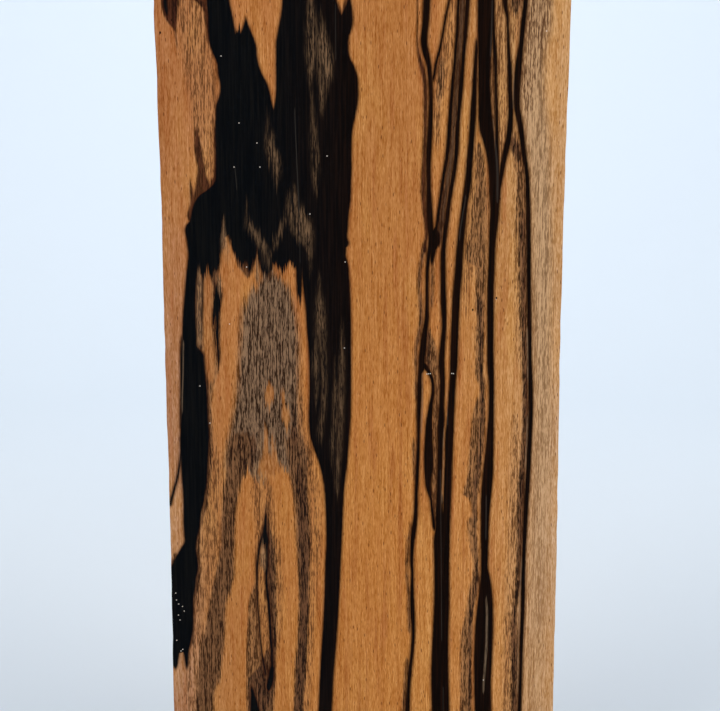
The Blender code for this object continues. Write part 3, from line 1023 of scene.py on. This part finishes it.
def beside(tree, wood, name):
    """How far a place lies beside the nearest streak of a kind, whose edges are uneven."""
    kind = KINDS[name]
    height = wood.heights[kind.edge]
    groups = stacks(kind.streaks, kind.points)
    distance = nearest(tree, [outside_streak(tree, wood.across, height, rows) for rows in groups])
    return calc(tree, "MULTIPLY_ADD", wood.unevenness, kind.uneven, distance)


def cover(tree, wood, name):
    """How much a kind of streak covers a place."""
    kind = KINDS[name]
    return fade(tree, beside(tree, wood, name), kind.start, kind.full, 0.0, kind.cover)


def spots(tree, wood, places, size):
    """Small round marks at picture pixels, so wide and so tall in millimetres."""
    wide, tall = size
    scaled = [calc(tree, "DIVIDE", wood.across, wide), calc(tree, "DIVIDE", wood.heights["smooth"], tall)]
    here = place_of(tree, *scaled)
    distances = []
    for place in places:
        spot_x, spot_z = face_place(*place)
        node = tree.nodes.new("ShaderNodeVectorMath")
        node.operation = "DISTANCE"
        feed(tree, node.inputs[0], here)
        node.inputs[1].default_value = (spot_x / wide, spot_z / tall, 0.0)
        distances.append(node.outputs["Value"])
    return fade(tree, nearest(tree, distances), *FADES["spot"])


def pale_wood(tree, wood):
    """The pale wood, with its red strands, yellow clouds, fibres, pores and painted light and shade."""
    first = PALE_WOOD_AND_PAINTED_LIGHT_HIGH[0][0]
    span = PALE_WOOD_AND_PAINTED_LIGHT_HIGH[-1][0] - first
    share = calc(tree, "DIVIDE", calc(tree, "SUBTRACT", wood.across, first), span)
    rows = []
    for row in (PALE_WOOD_AND_PAINTED_LIGHT_HIGH, PALE_WOOD_AND_PAINTED_LIGHT_LOW):
        rows.append(ramp(tree, share, [((spot - first) / span, color) for spot, color in row]))
    # Mixes the upper row, painted darker against the light from above, into the lower one.
    color = mixed(tree, fade(tree, wood.z, *FADES["from high to low"]), *rows)
    strands = fade(tree, wood.grains["strand"], *FADES["reddish strands"])
    left = fade(tree, wood.across, *FADES["less red at the right"])
    color = mixed(tree, product(tree, strands, left), color, RED_WOOD)
    color = mixed(tree, fade(tree, wood.grains["cloud"], *FADES["yellow clouds"]), color, YELLOW_WOOD)
    tone = blend_of(tree, wood.grains, TONE_MIX, TONE_BASE)
    red_tone = calc(tree, "POWER", tone, RED_POWER)
    blue_tone = calc(tree, "POWER", tone, BLUE_POWER)
    color = mixed(tree, 1.0, color, place_of(tree, red_tone, tone, blue_tone), blend="MULTIPLY")
    return mixed(tree, product(tree, wood.pore, PORE_COVER), color, PORE)


def blotchy(tree, wood, strength):
    """Weakens what lies between the blotches by this much."""
    return calc(tree, "MULTIPLY_ADD", wood.blotches, strength, 1 - strength)


def darker_wood(tree, wood, color):
    """Lays the darker kinds of wood over the pale wood, one after another."""
    banded = calc(tree, "ADD", wood.fine, swing(tree, wood.grains["strand"], BAND_SWING))
    fibres = {"greyed": fade(tree, banded, *FADES["greyed fibres"])}
    limits = {
        "greyed": fade(tree, wood.z, *FADES["more grey higher up"]),
        "streaky": fade(tree, wood.fine, *FADES["streaks between fibres"]),
        "dark brown": blotchy(tree, wood, SHADING_BLOTCH),
    }
    for name in DARKER_KINDS:
        share = cover(tree, wood, name)
        if name in limits:
            share = product(tree, share, limits[name])
        color = mixed(tree, share, color, mixed(tree, fibres.get(name, wood.pale_fibres), *TONES[name]))
    return color


def black_wood(tree, wood, color):
    """Lays the black wood over the rest, with a brown rim round it and a faint sheen and smears in it."""
    distance = nearest(tree, [beside(tree, wood, "black"), beside(tree, wood, "feathered")])
    color = mixed(tree, fade(tree, distance, *FADES["rim"]), color, RIM_COLOR)
    sheen = fade(tree, wood.grains["thread"], *FADES["sheen"])
    blacks = [mixed(tree, sheen, *TONES[name]) for name in ("cool black", "warm black")]
    # Toward the left the black is painted bluer, a painted sheen from that side; toward the right it is
    # warmer.
    inside = mixed(tree, fade(tree, wood.across, *FADES["cool to warm black"]), *blacks)
    on_threads = fade(tree, wood.grains["thread"], *FADES["smears on threads"])
    smears = product(tree, cover(tree, wood, "smears"), on_threads, blotchy(tree, wood, SMEAR_BLOTCH))
    inside = mixed(tree, smears, inside, mixed(tree, wood.pale_fibres, *TONES["smears"]))
    kind = KINDS["black"]
    return mixed(tree, fade(tree, distance, kind.start, kind.full, 0.0, kind.cover), color, inside)


def paler_inside(tree, wood, color, pale):
    """Lays the paler threads, a painted sheen and the tongues over the dark wood."""
    # The threads also carry the painted sheen along the left strand's edge.
    threads = product(tree, cover(tree, wood, "threads"), fade(tree, wood.fine, *FADES["broken threads"]))
    color = mixed(tree, threads, color, THREAD_AND_SHEEN_COLOR)
    color = mixed(tree, cover(tree, wood, "dull"), color, mixed(tree, wood.pale_fibres, *TONES["dull"]))
    return mixed(tree, cover(tree, wood, "pale"), color, pale)


def face_marks(tree, wood, color):
    """Lays scratches, painted sheens, nicks and specks in the face's skin, and darkens the sawn ends."""
    skin = fade(tree, wood.depth, *FADES["skin"])
    for share, mark in (
        (cover(tree, wood, "scratches and sheens"), SCRATCH_AND_SHEEN_COLOR),
        (spots(tree, wood, NICKS, NICK_SIZE), NICK_COLOR),
        (spots(tree, wood, DARK_SPECKS, SPECK_SIZE), SPECK_COLOR),
    ):
        color = mixed(tree, product(tree, share, skin), color, mark)
    return mixed(tree, product(tree, wood.end, END_COVER), color, END_COLOR)


def finish_of(tree, wood):
    """The roughness and the relief of the planed faces and the sawn ends."""
    fibre = wood.grains["fibre"]
    roughness = calc(tree, "MULTIPLY_ADD", fibre, FIBRE_ROUGHNESS, ROUGHNESS)
    roughness = calc(tree, "MULTIPLY_ADD", wood.pore, PORE_ROUGHNESS, roughness)
    roughness = calc(tree, "MULTIPLY_ADD", wood.end, END_ROUGHNESS, roughness)
    relief = calc(tree, "MULTIPLY_ADD", wood.pore, PORE_RELIEF, product(tree, fibre, FIBRE_RELIEF))
    saw_x = calc(tree, "DIVIDE", wood.x, SAW_MARK_LENGTH)
    saw_y = calc(tree, "DIVIDE", wood.depth, SAW_MARK_WIDTH)
    saw_marks = grain(tree, place_of(tree, saw_x, saw_y), *SAW_GRAIN)
    relief = calc(tree, "MULTIPLY_ADD", product(tree, wood.end, saw_marks), SAW_RELIEF, relief)
    bump = tree.nodes.new("ShaderNodeBump")
    bump.inputs["Strength"].default_value = RELIEF_STRENGTH
    bump.inputs["Distance"].default_value = RELIEF_UNIT
    feed(tree, bump.inputs["Height"], relief)
    return roughness, bump.outputs["Normal"]


def ebony_wood():
    """Orange and black ebony, worked out in the solid, so that faces and ends agree at the arrises."""
    material = bpy.data.materials.new("black_and_white_ebony")
    material.use_nodes = True
    tree = material.node_tree
    shader = tree.nodes["Principled BSDF"]
    wood = wood_fields(tree)
    pale = pale_wood(tree, wood)
    color = darker_wood(tree, wood, pale)
    color = black_wood(tree, wood, color)
    color = paler_inside(tree, wood, color, pale)
    color = face_marks(tree, wood, color)
    roughness, normal = finish_of(tree, wood)
    feed(tree, shader.inputs["Base Color"], color)
    feed(tree, shader.inputs["Roughness"], roughness)
    feed(tree, shader.inputs["Normal"], normal)
    shader.inputs["Specular IOR Level"].default_value = SPECULAR_LEVEL
    return material


# The board's mesh: how finely it is cut, and how its arrises are eased and worn.
ACROSS_CUTS = 47
DEPTH_CUTS = 9
LENGTH_CUTS = 121
EASING = 0.0006
EASING_SEGMENTS = 3
SHARP_ANGLE = math.radians(60)
WEAR_DEPTH = 0.00035
WEAR_REACH = 0.0016
WEAR_LENGTH = 0.006
WEAR_BASE = 0.15

# An edge runs along an axis where more than this share of its length does.
ALONG_AXIS = 0.9

# A distance from the board's middle that is well outside it.
OUTSIDE = 1.0


def board_span(height):
    """The left and right side of the solid at a height, halfway through its thickness."""
    solid = bpy.data.objects["ebony_board"]
    middle = (BOARD_LOW.y + BOARD_HIGH.y) / 2
    height = min(max(height, 2 * EASING), LENGTH - 2 * EASING)
    left = solid.ray_cast((-OUTSIDE, middle, height), (1.0, 0.0, 0.0))[1].x
    right = solid.ray_cast((OUTSIDE, middle, height), (-1.0, 0.0, 0.0))[1].x
    return left, right


def cut_along(shape, axis, cuts):
    """Cuts every edge that runs along an axis into equal lengths."""
    edges = []
    for edge in shape.edges:
        run = edge.verts[1].co - edge.verts[0].co
        if abs(run[axis]) > ALONG_AXIS * run.length:
            edges.append(edge)
    bmesh.ops.subdivide_edges(shape, edges=edges, cuts=cuts, use_grid_fill=True)


def wear_arrises(shape):
    """Rounds the arrises further in some places than in others, and always inwards."""
    middle = (BOARD_LOW + BOARD_HIGH) / 2
    for vert in shape.verts:
        left, right = board_span(vert.co.z)
        low = (left, BOARD_LOW.y, 0.0)
        high = (right, BOARD_HIGH.y, LENGTH)
        near = []
        for axis in range(3):
            gap = min(vert.co[axis] - low[axis], high[axis] - vert.co[axis])
            near.append(max(1 - gap / WEAR_REACH, 0.0))
        closeness = near[0] * near[1] + near[0] * near[2] + near[1] * near[2]
        patchy = max(noise.noise(vert.co / WEAR_LENGTH) + WEAR_BASE, 0.0)
        for axis in range(3):
            inwards = math.copysign(1.0, middle[axis] - vert.co[axis])
            vert.co[axis] += inwards * near[axis] * min(closeness, 1.0) * patchy * WEAR_DEPTH


# Where each side lies on the bake map: the axis that it faces along, the side of it, the axes that run
# across and up the map, and the left, low, right and high edge of its part of the map.
MAP_PARTS = (
    (1, -1, 0, 2, (0.006, 0.006, 0.498, 0.994)),
    (1, 1, 0, 2, (0.508, 0.006, 0.794, 0.994)),
    (0, -1, 1, 2, (0.804, 0.006, 0.860, 0.994)),
    (0, 1, 1, 2, (0.870, 0.006, 0.926, 0.994)),
    (2, -1, 1, 0, (0.936, 0.006, 0.994, 0.495)),
    (2, 1, 1, 0, (0.936, 0.505, 0.994, 0.994)),
)


def lay_out_map(shape):
    """Gives each side of the board its own part of the bake map, with most room for the figured face."""
    layer = shape.loops.layers.uv.new("OFBake")
    size = BOARD_HIGH - BOARD_LOW
    for face in shape.faces:
        facing = max(MAP_PARTS, key=lambda part: face.normal[part[0]] * part[1])
        across, up, (left, low, right, high) = facing[2:]
        for loop in face.loops:
            share_across = (loop.vert.co[across] - BOARD_LOW[across]) / size[across]
            share_up = (loop.vert.co[up] - BOARD_LOW[up]) / size[up]
            loop[layer].uv = (left + (right - left) * share_across, low + (high - low) * share_up)


def board_mesh():
    shape = bmesh.new()
    bmesh.ops.create_cube(shape, size=1.0)
    size = BOARD_HIGH - BOARD_LOW
    bmesh.ops.scale(shape, vec=size, verts=shape.verts)
    bmesh.ops.translate(shape, vec=(BOARD_HIGH + BOARD_LOW) / 2, verts=shape.verts)
    for axis, cuts in ((2, LENGTH_CUTS), (0, ACROSS_CUTS), (1, DEPTH_CUTS)):
        cut_along(shape, axis, cuts)
    for vert in shape.verts:
        left, right = board_span(vert.co.z)
        share = (vert.co.x - BOARD_LOW.x) / size.x
        vert.co.x = left + (right - left) * share
    arrises = [edge for edge in shape.edges if edge.calc_face_angle(0.0) > SHARP_ANGLE]
    bmesh.ops.bevel(
        shape,
        geom=arrises,
        offset=EASING,
        offset_type="OFFSET",
        affect="EDGES",
        segments=EASING_SEGMENTS,
        profile=0.5,
        material=-1,
        clamp_overlap=True,
    )
    wear_arrises(shape)
    bmesh.ops.recalc_face_normals(shape, faces=shape.faces)
    lay_out_map(shape)
    mesh = bpy.data.meshes.new("figured_board")
    shape.to_mesh(mesh)
    shape.free()
    mesh.shade_smooth()
    return mesh


def make_board():
    board = bpy.data.objects.new("figured_board", board_mesh())
    bpy.context.scene.collection.objects.link(board)
    board.data.materials.append(ebony_wood())
    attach(board, "root")
    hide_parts("ebony_board")


# The studio is a round white bowl: a floor that curves up into a wall.
STUDIO_RADIUS = 1.9
STUDIO_CURVE = 1.1
STUDIO_WALL = 1.15
STUDIO_STEPS = 96
CURVE_STEPS = 16
MERGE_DISTANCE = 1e-5
STUDIO_WHITE = paint(220, 229, 239)
STUDIO_ROUGHNESS = 0.9
STUDIO_SPECULAR = 0.1


def studio_paint():
    material = bpy.data.materials.new("studio white")
    material.use_nodes = True
    shader = material.node_tree.nodes["Principled BSDF"]
    shader.inputs["Base Color"].default_value = STUDIO_WHITE
    shader.inputs["Roughness"].default_value = STUDIO_ROUGHNESS
    shader.inputs["Specular IOR Level"].default_value = STUDIO_SPECULAR
    return material


def make_studio():
    profile = [(0.0, 0.0), (STUDIO_RADIUS - STUDIO_CURVE, 0.0)]
    for step in range(1, CURVE_STEPS + 1):
        turn = math.pi / 2 * step / CURVE_STEPS
        profile.append((
            STUDIO_RADIUS - STUDIO_CURVE + STUDIO_CURVE * math.sin(turn),
            STUDIO_CURVE - STUDIO_CURVE * math.cos(turn),
        ))
    profile.append((STUDIO_RADIUS, STUDIO_WALL))
    shape = bmesh.new()
    verts = [shape.verts.new((radius, 0.0, height)) for radius, height in profile]
    edges = [shape.edges.new(pair) for pair in zip(verts, verts[1:])]
    bmesh.ops.spin(
        shape,
        geom=verts + edges,
        cent=(0.0, 0.0, 0.0),
        axis=(0.0, 0.0, 1.0),
        angle=math.tau,
        steps=STUDIO_STEPS,
        use_merge=True,
    )
    bmesh.ops.remove_doubles(shape, verts=shape.verts, dist=MERGE_DISTANCE)
    mesh = bpy.data.meshes.new("studio")
    shape.to_mesh(mesh)
    shape.free()
    mesh.shade_smooth()
    studio = bpy.data.objects.new("studio", mesh)
    studio.data.materials.append(studio_paint())
    bpy.context.scene.collection.objects.link(studio)


# The studio is lit by a soft cool sky, two warm lamps on the board and a cool one on the wall behind it.
SKY_COLOR = (0.95, 0.98, 1.0, 1.0)
SKY_STRENGTH = 0.42
WARM_LIGHT = (1.0, 0.9, 0.79)
COOL_LIGHT = (0.93, 0.97, 1.0)
BOARD_MIDDLE = (0.0, 0.0, 0.15)

# Each lamp: where it hangs, what it shines at, its width in metres, its power in watts and its colour.
LAMPS = {
    "left lamp": ((-1.0, -0.8, 1.0), BOARD_MIDDLE, 0.8, 9.2, WARM_LIGHT),
    "right lamp": ((1.1, -0.7, 0.7), BOARD_MIDDLE, 0.8, 10.0, WARM_LIGHT),
    "wall lamp": ((0.0, 0.5, 1.5), (0.0, 1.9, 0.5), 1.0, 14.0, COOL_LIGHT),
}


def make_lights():
    world = bpy.data.worlds.new("studio sky")
    world.use_nodes = True
    sky = world.node_tree.nodes["Background"]
    sky.inputs["Color"].default_value = SKY_COLOR
    sky.inputs["Strength"].default_value = SKY_STRENGTH
    bpy.context.scene.world = world
    for name, (place, target, size, power, color) in LAMPS.items():
        light = bpy.data.lights.new(name, "AREA")
        light.shape = "DISK"
        light.size = size
        light.energy = power
        light.color = color
        holder = bpy.data.objects.new(name, light)
        holder.location = place
        holder.rotation_euler = (Vector(target) - Vector(place)).to_track_quat("-Z", "Y").to_euler()
        bpy.context.scene.collection.objects.link(holder)


def make_camera():
    camera = bpy.data.cameras.new("camera")
    camera.sensor_width = SENSOR_WIDTH
    camera.lens = SENSOR_WIDTH * FOCAL_PIXELS / PICTURE_WIDTH
    camera.clip_start = NEAREST_SEEN
    holder = bpy.data.objects.new("camera", camera)
    holder.location = (CAMERA_X, FACE_Y - CAMERA_DISTANCE, CAMERA_HEIGHT)
    holder.rotation_euler = (math.pi / 2 - CAMERA_PITCH, 0.0, 0.0)
    bpy.context.scene.collection.objects.link(holder)
    bpy.context.scene.camera = holder
    bpy.context.scene.view_settings.view_transform = "Standard"


make_camera()
make_lights()
make_studio()
make_board()
